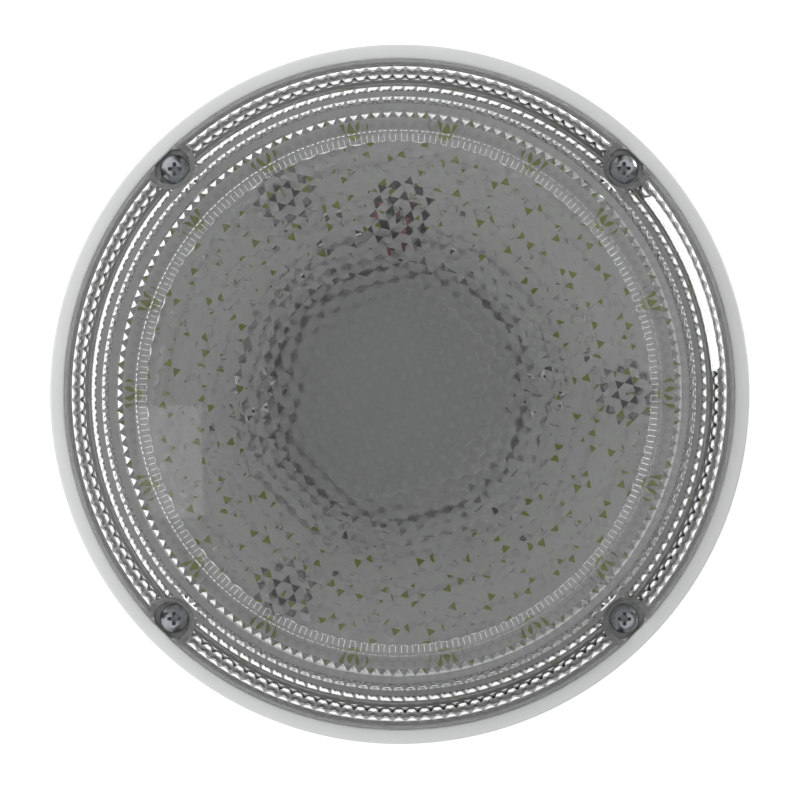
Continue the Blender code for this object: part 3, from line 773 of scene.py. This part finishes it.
def pan_screw(name, head_radius, head_height, brim, shank_radius, pitch, shank_length, recess):
    """Pan-head screw whose head sits on z = 0 and whose thread points down."""
    steps = 64
    dome_points = 12
    chamfer = 0.00015
    root = shank_radius * 0.84
    plain_neck, plain_end = 0.0004, 0.0012
    tip_radius, tip_height = 0.0007, 0.0002
    profile = [(0.0, head_height)]
    for n in range(1, dome_points + 1):
        angle = math.pi / 2 * (1 - n / dome_points)
        profile.append((head_radius * math.cos(angle) ** 0.8, brim + (head_height - brim) * math.sin(angle)))
    profile += [(head_radius, chamfer), (head_radius - chamfer, 0.0), (root, 0.0)]
    z = -plain_neck
    while z - pitch > -shank_length + plain_end:
        profile += [(root, z), (shank_radius, z - pitch * 0.4), (shank_radius, z - pitch * 0.55)]
        z -= pitch
    profile += [(root, z), (tip_radius, -shank_length + tip_height), (0.0, -shank_length)]
    piece = turned(name, profile, steps)
    carve(piece, cross_recess(name + "_recess", *recess, head_height), "DIFFERENCE")
    crease(piece, 32.0)
    return piece


class LAMP_OT_lens_screws(bpy.types.Operator):
    """Four plated pan-head screws that hold the lens"""

    bl_idname = "lamp.lens_screws"
    bl_label = "Lens screws"

    def execute(self, context):
        screws = context.scene.lamp_screws
        zinc = finish(
            "zinc_plate", screws.zinc, 0.3, mottle=0.3, gloss_change=0.25,
            scales=(700.0, 5000.0), relief=0.00001, metal=1.0,
        )
        for number in range(1, 5):
            low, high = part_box(f"lens_screw_{number}")
            seat = high[2] - screws.head_height
            recess = (0.0024, 0.00058, 0.0017)
            piece = pan_screw(
                f"pan_screw_{number}", screws.head_radius, screws.head_height, screws.brim,
                screws.shank_radius, screws.thread_pitch, seat - low[2], recess,
            )
            spot = node_centre(f"lens_screw_{number}")
            piece.location = (spot.x, spot.y, seat)
            place(piece, f"lens_screw_{number}", zinc, "zinc_steel", f"lens_screw_{number}")
        return {"FINISHED"}


class LAMP_OT_board_screws(bpy.types.Operator):
    """Two bright screws in the board's ears"""

    bl_idname = "lamp.board_screws"
    bl_label = "Board screws"

    def execute(self, context):
        bright = finish(
            "bright_steel", (0.3, 0.3, 0.3), 0.12, mottle=0.15, gloss_change=0.15,
            scales=(900.0, 5000.0), relief=0.00001, metal=1.0,
        )
        head_radius, head_height, brim = 0.0031, 0.0022, 0.0007
        shank_radius, pitch = 0.0015, 0.0007
        for number in range(1, 3):
            low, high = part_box(f"board_screw_{number}")
            seat = high[2] - head_height
            recess = (0.0018, 0.00042, 0.0011)
            piece = pan_screw(
                f"small_screw_{number}", head_radius, head_height, brim,
                shank_radius, pitch, seat - low[2], recess,
            )
            spot = node_centre(f"board_screw_{number}")
            piece.location = (spot.x, spot.y, seat)
            place(piece, LAMP_BODY, bright, "bright_steel", f"board_screw_{number}")
        return {"FINISHED"}


# Board and what it carries


def board_finish(color):
    """Solder mask with the copper tracks showing through as paler and darker bands."""
    ring_step = 0.0107
    material = finish(
        "solder_mask", color, 0.42, mottle=0.05, gloss_change=0.1, scales=(80.0, 4000.0), relief=0.00001
    )
    tree = material.node_tree
    shader = tree.nodes["Principled BSDF"]
    grain = next(node for node in tree.nodes if node.type == "GROUP")
    where = tree.nodes.new("ShaderNodeTexCoord")
    flat = tree.nodes.new("ShaderNodeVectorMath")
    flat.operation = "MULTIPLY"
    flat.inputs[1].default_value = (1.0, 1.0, 0.0)
    radius = tree.nodes.new("ShaderNodeVectorMath")
    radius.operation = "LENGTH"
    tree.links.new(where.outputs["Object"], flat.inputs[0])
    tree.links.new(flat.outputs[0], radius.inputs[0])
    wave = tree.nodes.new("ShaderNodeMath")
    wave.operation = "MULTIPLY"
    wave.inputs[1].default_value = 2 * math.pi / ring_step
    tree.links.new(radius.outputs["Value"], wave.inputs[0])
    turn = tree.nodes.new("ShaderNodeMath")
    turn.operation = "SINE"
    tree.links.new(wave.outputs[0], turn.inputs[0])
    band = tree.nodes.new("ShaderNodeMapRange")
    band.inputs["From Min"].default_value = 0.86
    band.inputs["From Max"].default_value = 0.93
    band.inputs["To Min"].default_value = 1.0
    band.inputs["To Max"].default_value = 0.82
    tree.links.new(turn.outputs[0], band.inputs["Value"])
    tint = tree.nodes.new("ShaderNodeVectorMath")
    tint.operation = "SCALE"
    tree.links.new(grain.outputs["Colour"], tint.inputs[0])
    tree.links.new(band.outputs[0], tint.inputs["Scale"])
    tree.links.new(tint.outputs[0], shader.inputs["Base Color"])
    return material


class LAMP_OT_board(bpy.types.Operator):
    """Finish of the ring-shaped board"""

    bl_idname = "lamp.board"
    bl_label = "Board"

    def execute(self, context):
        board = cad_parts["led_board"]
        board.data.materials.clear()
        board.data.materials.append(board_finish(context.scene.lamp_board.mask))
        return {"FINISHED"}


def add_block(shape, stand, size, material_index):
    made = bmesh.ops.create_cube(shape, size=1.0, matrix=stand @ Matrix.Diagonal((*size, 1.0)))
    for face in {face for vert in made["verts"] for face in vert.link_faces}:
        face.material_index = material_index


def add_package(shape, stand, board):
    """One LED: square pale package with a cut corner, round phosphor window and tinned contacts."""
    steps = 32
    half = board.led_side / 2
    top = board.led_height
    rows = []
    for scale, z in ((1.0, 0.0), (1.0, top - 0.0002), (0.95, top)):
        row = []
        for n in range(steps):
            direction = on_circle(1.0, 2 * math.pi * (n + 0.5) / steps)
            reach = half * scale / max(abs(direction.x), abs(direction.y))
            point = direction * reach
            corner = half * scale * 1.7
            if point.x > 0 and point.y > 0 and point.x + point.y > corner:
                point *= corner / (point.x + point.y)
            row.append(shape.verts.new(stand @ Vector((point.x, point.y, z))))
        rows.append(row)
    window = board.window_radius
    for radius, z in ((window, top), (window * 0.93, top - 0.00025), (window * 0.5, top - 0.00012)):
        row = []
        for n in range(steps):
            point = on_circle(radius, 2 * math.pi * (n + 0.5) / steps, z)
            row.append(shape.verts.new(stand @ point))
        rows.append(row)
    middle = shape.verts.new(stand @ Vector((0.0, 0.0, top - 0.00008)))
    for index, (lower, upper) in enumerate(zip(rows, rows[1:])):
        for n in range(steps):
            m = (n + 1) % steps
            face = shape.faces.new((lower[n], lower[m], upper[m], upper[n]))
            face.material_index = 1 if index == 4 else 0
            face.smooth = index > 2
    for n in range(steps):
        face = shape.faces.new((rows[-1][n], rows[-1][(n + 1) % steps], middle))
        face.material_index = 1
        face.smooth = True
    shape.faces.new(rows[0][::-1])
    for side in (-1, 1):
        for y in (-0.0016, 0.0, 0.0016):
            spot = stand @ Matrix.Translation((side * half, y, 0.0003))
            add_block(shape, spot, (0.0005, 0.0009, 0.0006), 2)


class LAMP_OT_leds(bpy.types.Operator):
    """The three rings of LED packages with the tracks between them"""

    bl_idname = "lamp.leds"
    bl_label = "LEDs"

    def execute(self, context):
        board = context.scene.lamp_board
        shape = bmesh.new()
        count = board.per_ring
        for number in range(count):
            spots = []
            for radius, turn in zip(board.rings, (0.0, 0.5, 0.0)):
                angle = 2 * math.pi * (number + turn) / count
                spot = on_circle(radius, angle, BOARD_TOP)
                spots.append(spot)
                add_package(shape, Matrix.Translation(spot) @ Matrix.Rotation(angle, 4, "Z"), board)
            for first, second in zip(spots, spots[1:]):
                way = second - first
                lie = Matrix.Rotation(math.atan2(way.y, way.x), 4, "Z")
                size = (way.length - board.led_side, 0.0008, 0.0002)
                add_block(shape, Matrix.Translation((first + second) / 2) @ lie, size, 0)
        bmesh.ops.recalc_face_normals(shape, faces=shape.faces)
        piece = shape_object("led_packages", shape)
        package = finish("led_package", board.mask, 0.4, scales=(300.0, 5000.0), relief=0.000005)
        phosphor = finish(
            "led_phosphor", board.phosphor, 0.3, mottle=0.15, scales=(1500.0, 6000.0), relief=0.00001
        )
        dull = phosphor.node_tree.nodes["Principled BSDF"].inputs["Specular IOR Level"]
        dull.default_value = 0.05
        tin = finish("tinned_copper", (0.3, 0.3, 0.29), 0.5, scales=(500.0, 5000.0), relief=0.00001)
        for material in (package, phosphor, tin):
            piece.data.materials.append(material)
        place(piece, LAMP_BODY, None, "led_phosphor", *[f"led_string_{n:02d}" for n in range(1, count + 1)])
        return {"FINISHED"}


class LAMP_OT_chips(bpy.types.Operator):
    """Chip resistors and the diode, with tinned ends"""

    bl_idname = "lamp.chips"
    bl_label = "Chips"

    def execute(self, context):
        grain = {"scales": (900.0, 5000.0), "relief": 0.00001}
        black = finish("chip_black", (0.03, 0.03, 0.032), 0.4, mottle=0.2, **grain)
        tin = finish("chip_tin", (0.66, 0.65, 0.62), 0.3, mottle=0.1, metal=1.0, **grain)
        groups = [
            ("chip_resistors", [f"resistor_{n}" for n in range(1, 7)], (0.0032, 0.0016, 0.0007)),
            ("power_diode", ["polarity_diode"], (0.0043, 0.0026, 0.0021)),
        ]
        for name, nodes, size in groups:
            shape = bmesh.new()
            for node in nodes:
                spot = node_centre(node)
                angle = math.atan2(spot.y, spot.x)
                middle = Matrix.Translation((spot.x, spot.y, BOARD_TOP + size[2] / 2))
                stand = middle @ Matrix.Rotation(angle, 4, "Z")
                add_block(shape, stand, (size[0] * 0.72, size[1], size[2]), 0)
                for side in (-1, 1):
                    end = stand @ Matrix.Translation((side * size[0] * 0.43, 0.0, -size[2] * 0.02))
                    add_block(shape, end, (size[0] * 0.14, size[1] * 0.96, size[2] * 0.94), 1)
            bmesh.ops.bevel(shape, geom=list(shape.edges), offset=0.0001, segments=2, affect="EDGES")
            piece = shape_object(name, shape)
            piece.data.materials.append(black)
            piece.data.materials.append(tin)
            place(piece, LAMP_BODY, None, "chip_black", *nodes)
        return {"FINISHED"}


class LAMP_OT_leads(bpy.types.Operator):
    """Red and black leads, their grommet and the lens gasket"""

    bl_idname = "lamp.leads"
    bl_label = "Leads and rubber"

    def execute(self, context):
        insulation = [
            ("lead_red", (0.16, 0.03, 0.035)),
            ("lead_black", (0.02, 0.02, 0.022)),
        ]
        for node, color in insulation:
            name = node + "_insulation"
            self.dress(node, finish(name, color, 0.35, mottle=0.2, scales=(400.0, 4000.0), relief=0.00001))
        soft = (250.0, 4000.0)
        rubber = finish("black_rubber", (0.025, 0.025, 0.027), 0.65, mottle=0.3, scales=soft, relief=0.00004)
        silicone = finish("white_silicone", (0.74, 0.74, 0.72), 0.5, mottle=0.06, scales=soft, relief=0.00003)
        self.dress("wire_grommet", rubber)
        self.dress("lens_gasket", silicone)
        return {"FINISHED"}

    def dress(self, node, material):
        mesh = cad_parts[node].data
        mesh.materials.clear()
        mesh.materials.append(material)


# Stage


def soft_light(name, size, power, spot, target):
    light = bpy.data.lights.new(name, "AREA")
    light.shape = "RECTANGLE"
    light.size, light.size_y = size
    light.energy = power
    lamp = bpy.data.objects.new(name, light)
    bpy.context.scene.collection.objects.link(lamp)
    lamp.location = spot
    lamp.rotation_euler = (Vector(target) - Vector(spot)).to_track_quat("-Z", "Y").to_euler()
    return lamp


def floor_finish():
    """White sweep: keeps the lamp's shadow, and shows as plain white elsewhere."""
    material = finish("white_sweep", (0.8, 0.8, 0.8), 0.6, mottle=0.01, scales=(3.0, 300.0), relief=0.0)
    tree = material.node_tree
    shader = tree.nodes["Principled BSDF"]
    path = tree.nodes.new("ShaderNodeLightPath")
    both = combine(tree, "MAXIMUM", path.outputs["Is Camera Ray"], path.outputs["Is Transmission Ray"])
    seen = tree.nodes.new("ShaderNodeMath")
    seen.operation = "MULTIPLY"
    seen.inputs[1].default_value = 0.6
    spot = tree.nodes.new("ShaderNodeNewGeometry")
    reach = tree.nodes.new("ShaderNodeVectorMath")
    reach.operation = "LENGTH"
    tree.links.new(spot.outputs["Position"], reach.inputs[0])
    clear = tree.nodes.new("ShaderNodeMath")
    clear.operation = "GREATER_THAN"
    clear.inputs[1].default_value = BASE_RADIUS
    tree.links.new(reach.outputs["Value"], clear.inputs[0])
    tree.links.new(combine(tree, "MULTIPLY", both, clear.outputs[0]), seen.inputs[0])
    shader.inputs["Emission Color"].default_value = (1.0, 1.0, 1.0, 1.0)
    tree.links.new(seen.outputs[0], shader.inputs["Emission Strength"])
    return material


def white_world(stage):
    """White studio: pale low down all round, walls paler on the left and at the top, and a dark ceiling."""
    world = bpy.data.worlds.new("studio")
    bpy.context.scene.world = world
    world.use_nodes = True
    tree = world.node_tree
    background = tree.nodes["Background"]
    background.inputs["Color"].default_value = (1.0, 1.0, 1.0, 1.0)
    where = tree.nodes.new("ShaderNodeTexCoord")
    axes = tree.nodes.new("ShaderNodeSeparateXYZ")
    tree.links.new(where.outputs["Generated"], axes.inputs[0])
    aside = tree.nodes.new("ShaderNodeVectorMath")
    aside.operation = "DOT_PRODUCT"
    aside.inputs[1].default_value = (-0.47, 0.17, 0.0)
    tree.links.new(where.outputs["Generated"], aside.inputs[0])
    shifted = tree.nodes.new("ShaderNodeMath")
    shifted.inputs[1].default_value = 0.5
    tree.links.new(aside.outputs["Value"], shifted.inputs[0])
    height = axes.outputs["Z"]
    low, walls, high, ambient = stage.low, stage.walls, stage.upper, stage.ambient
    wall = fade(tree, height, [(0.0, low), (0.4, low), (0.5, walls), (0.66, walls), (0.72, 0.0)])
    side = fade(tree, shifted.outputs[0], [(0.3, 0.2), (0.85, 1.3)])
    upper = fade(tree, height, [(0.66, ambient), (0.72, high), (0.94, high), (0.985, ambient)])
    light = combine(tree, "ADD", upper, combine(tree, "MULTIPLY", wall, side))
    path = tree.nodes.new("ShaderNodeLightPath")
    strength = tree.nodes.new("ShaderNodeMapRange")
    strength.inputs["To Max"].default_value = 1.0
    tree.links.new(light, strength.inputs["To Min"])
    tree.links.new(path.outputs["Is Camera Ray"], strength.inputs["Value"])
    tree.links.new(strength.outputs[0], background.inputs["Strength"])


class LAMP_OT_stage(bpy.types.Operator):
    """White floor, soft lights and the camera above the lamp"""

    bl_idname = "lamp.stage"
    bl_label = "Stage"

    def execute(self, context):
        stage = context.scene.lamp_stage
        width, top, under = 3.0, -0.0005, -0.02
        floor = turned("floor", [(0.0, top), (width, top), (width, under), (0.0, under)], 96)
        floor.data.materials.append(floor_finish())
        white_world(stage)
        stand = on_circle(0.62, math.radians(22), 0.095)
        strip = soft_light("right_softbox", (0.38, 0.16), 2.7, stand, (0.0, 0.0, 0.02))
        # The strip shows only as a reflection
        strip.visible_diffuse = False
        strip.visible_transmission = False
        soft_light("overhead_panel", (0.21, 0.13), 0.08, (-0.435, -0.115, 0.9), (0.0, -0.115, 0.03))
        aim_drop = 0.0018
        rim = context.scene.lamp_base.rim_height - aim_drop
        camera = bpy.data.cameras.new("camera")
        camera.sensor_width = 36.0
        camera.lens = stage.rim_px * stage.distance / BASE_RADIUS * camera.sensor_width / FRAME_SIDE_PX
        camera.shift_x = (FRAME_SIDE_PX / 2 - stage.centre_px[0]) / FRAME_SIDE_PX
        camera.shift_y = (stage.centre_px[1] - FRAME_SIDE_PX / 2) / FRAME_SIDE_PX
        eye = bpy.data.objects.new("camera", camera)
        context.scene.collection.objects.link(eye)
        eye.location = (stage.aside[0], stage.aside[1], rim + stage.distance)
        aim = Vector((0.0, 0.0, rim)) - eye.location
        eye.rotation_euler = (math.atan2(aim.y, -aim.z), -math.atan2(aim.x, -aim.z), 0.0)
        context.scene.camera = eye
        context.scene.view_settings.view_transform = "Standard"
        return {"FINISHED"}


class LAMP_PT_panel(bpy.types.Panel):
    bl_idname = "LAMP_PT_panel"
    bl_label = "Round LED lamp"
    bl_space_type = "VIEW_3D"
    bl_region_type = "UI"
    bl_category = "Lamp"

    def draw(self, context):
        for settings in ("lamp_lens", "lamp_base", "lamp_screws", "lamp_board", "lamp_stage"):
            box = self.layout.box()
            group = getattr(context.scene, settings)
            for key in group.__annotations__:
                box.prop(group, key)
        for operator in OPERATORS:
            self.layout.operator(operator.bl_idname)


SETTINGS = (
    ("lamp_lens", LensSettings),
    ("lamp_base", BaseSettings),
    ("lamp_screws", ScrewSettings),
    ("lamp_board", BoardSettings),
    ("lamp_stage", StageSettings),
)
OPERATORS = (
    LAMP_OT_stage,
    LAMP_OT_base,
    LAMP_OT_lens,
    LAMP_OT_lens_screws,
    LAMP_OT_board,
    LAMP_OT_leds,
    LAMP_OT_chips,
    LAMP_OT_board_screws,
    LAMP_OT_leads,
)


def register():
    for name, group in SETTINGS:
        bpy.utils.register_class(group)
        setattr(bpy.types.Scene, name, PointerProperty(type=group))
    for item in (*OPERATORS, LAMP_PT_panel):
        bpy.utils.register_class(item)


def unregister():
    for item in (LAMP_PT_panel, *reversed(OPERATORS)):
        bpy.utils.unregister_class(item)
    for name, group in reversed(SETTINGS):
        delattr(bpy.types.Scene, name)
        bpy.utils.unregister_class(group)


def main():
    register()
    bpy.ops.lamp.stage()
    bpy.ops.lamp.base()
    bpy.ops.lamp.lens()
    bpy.ops.lamp.lens_screws()
    bpy.ops.lamp.board()
    bpy.ops.lamp.leds()
    bpy.ops.lamp.chips()
    bpy.ops.lamp.board_screws()
    bpy.ops.lamp.leads()


if __name__ == "__main__":
    main()
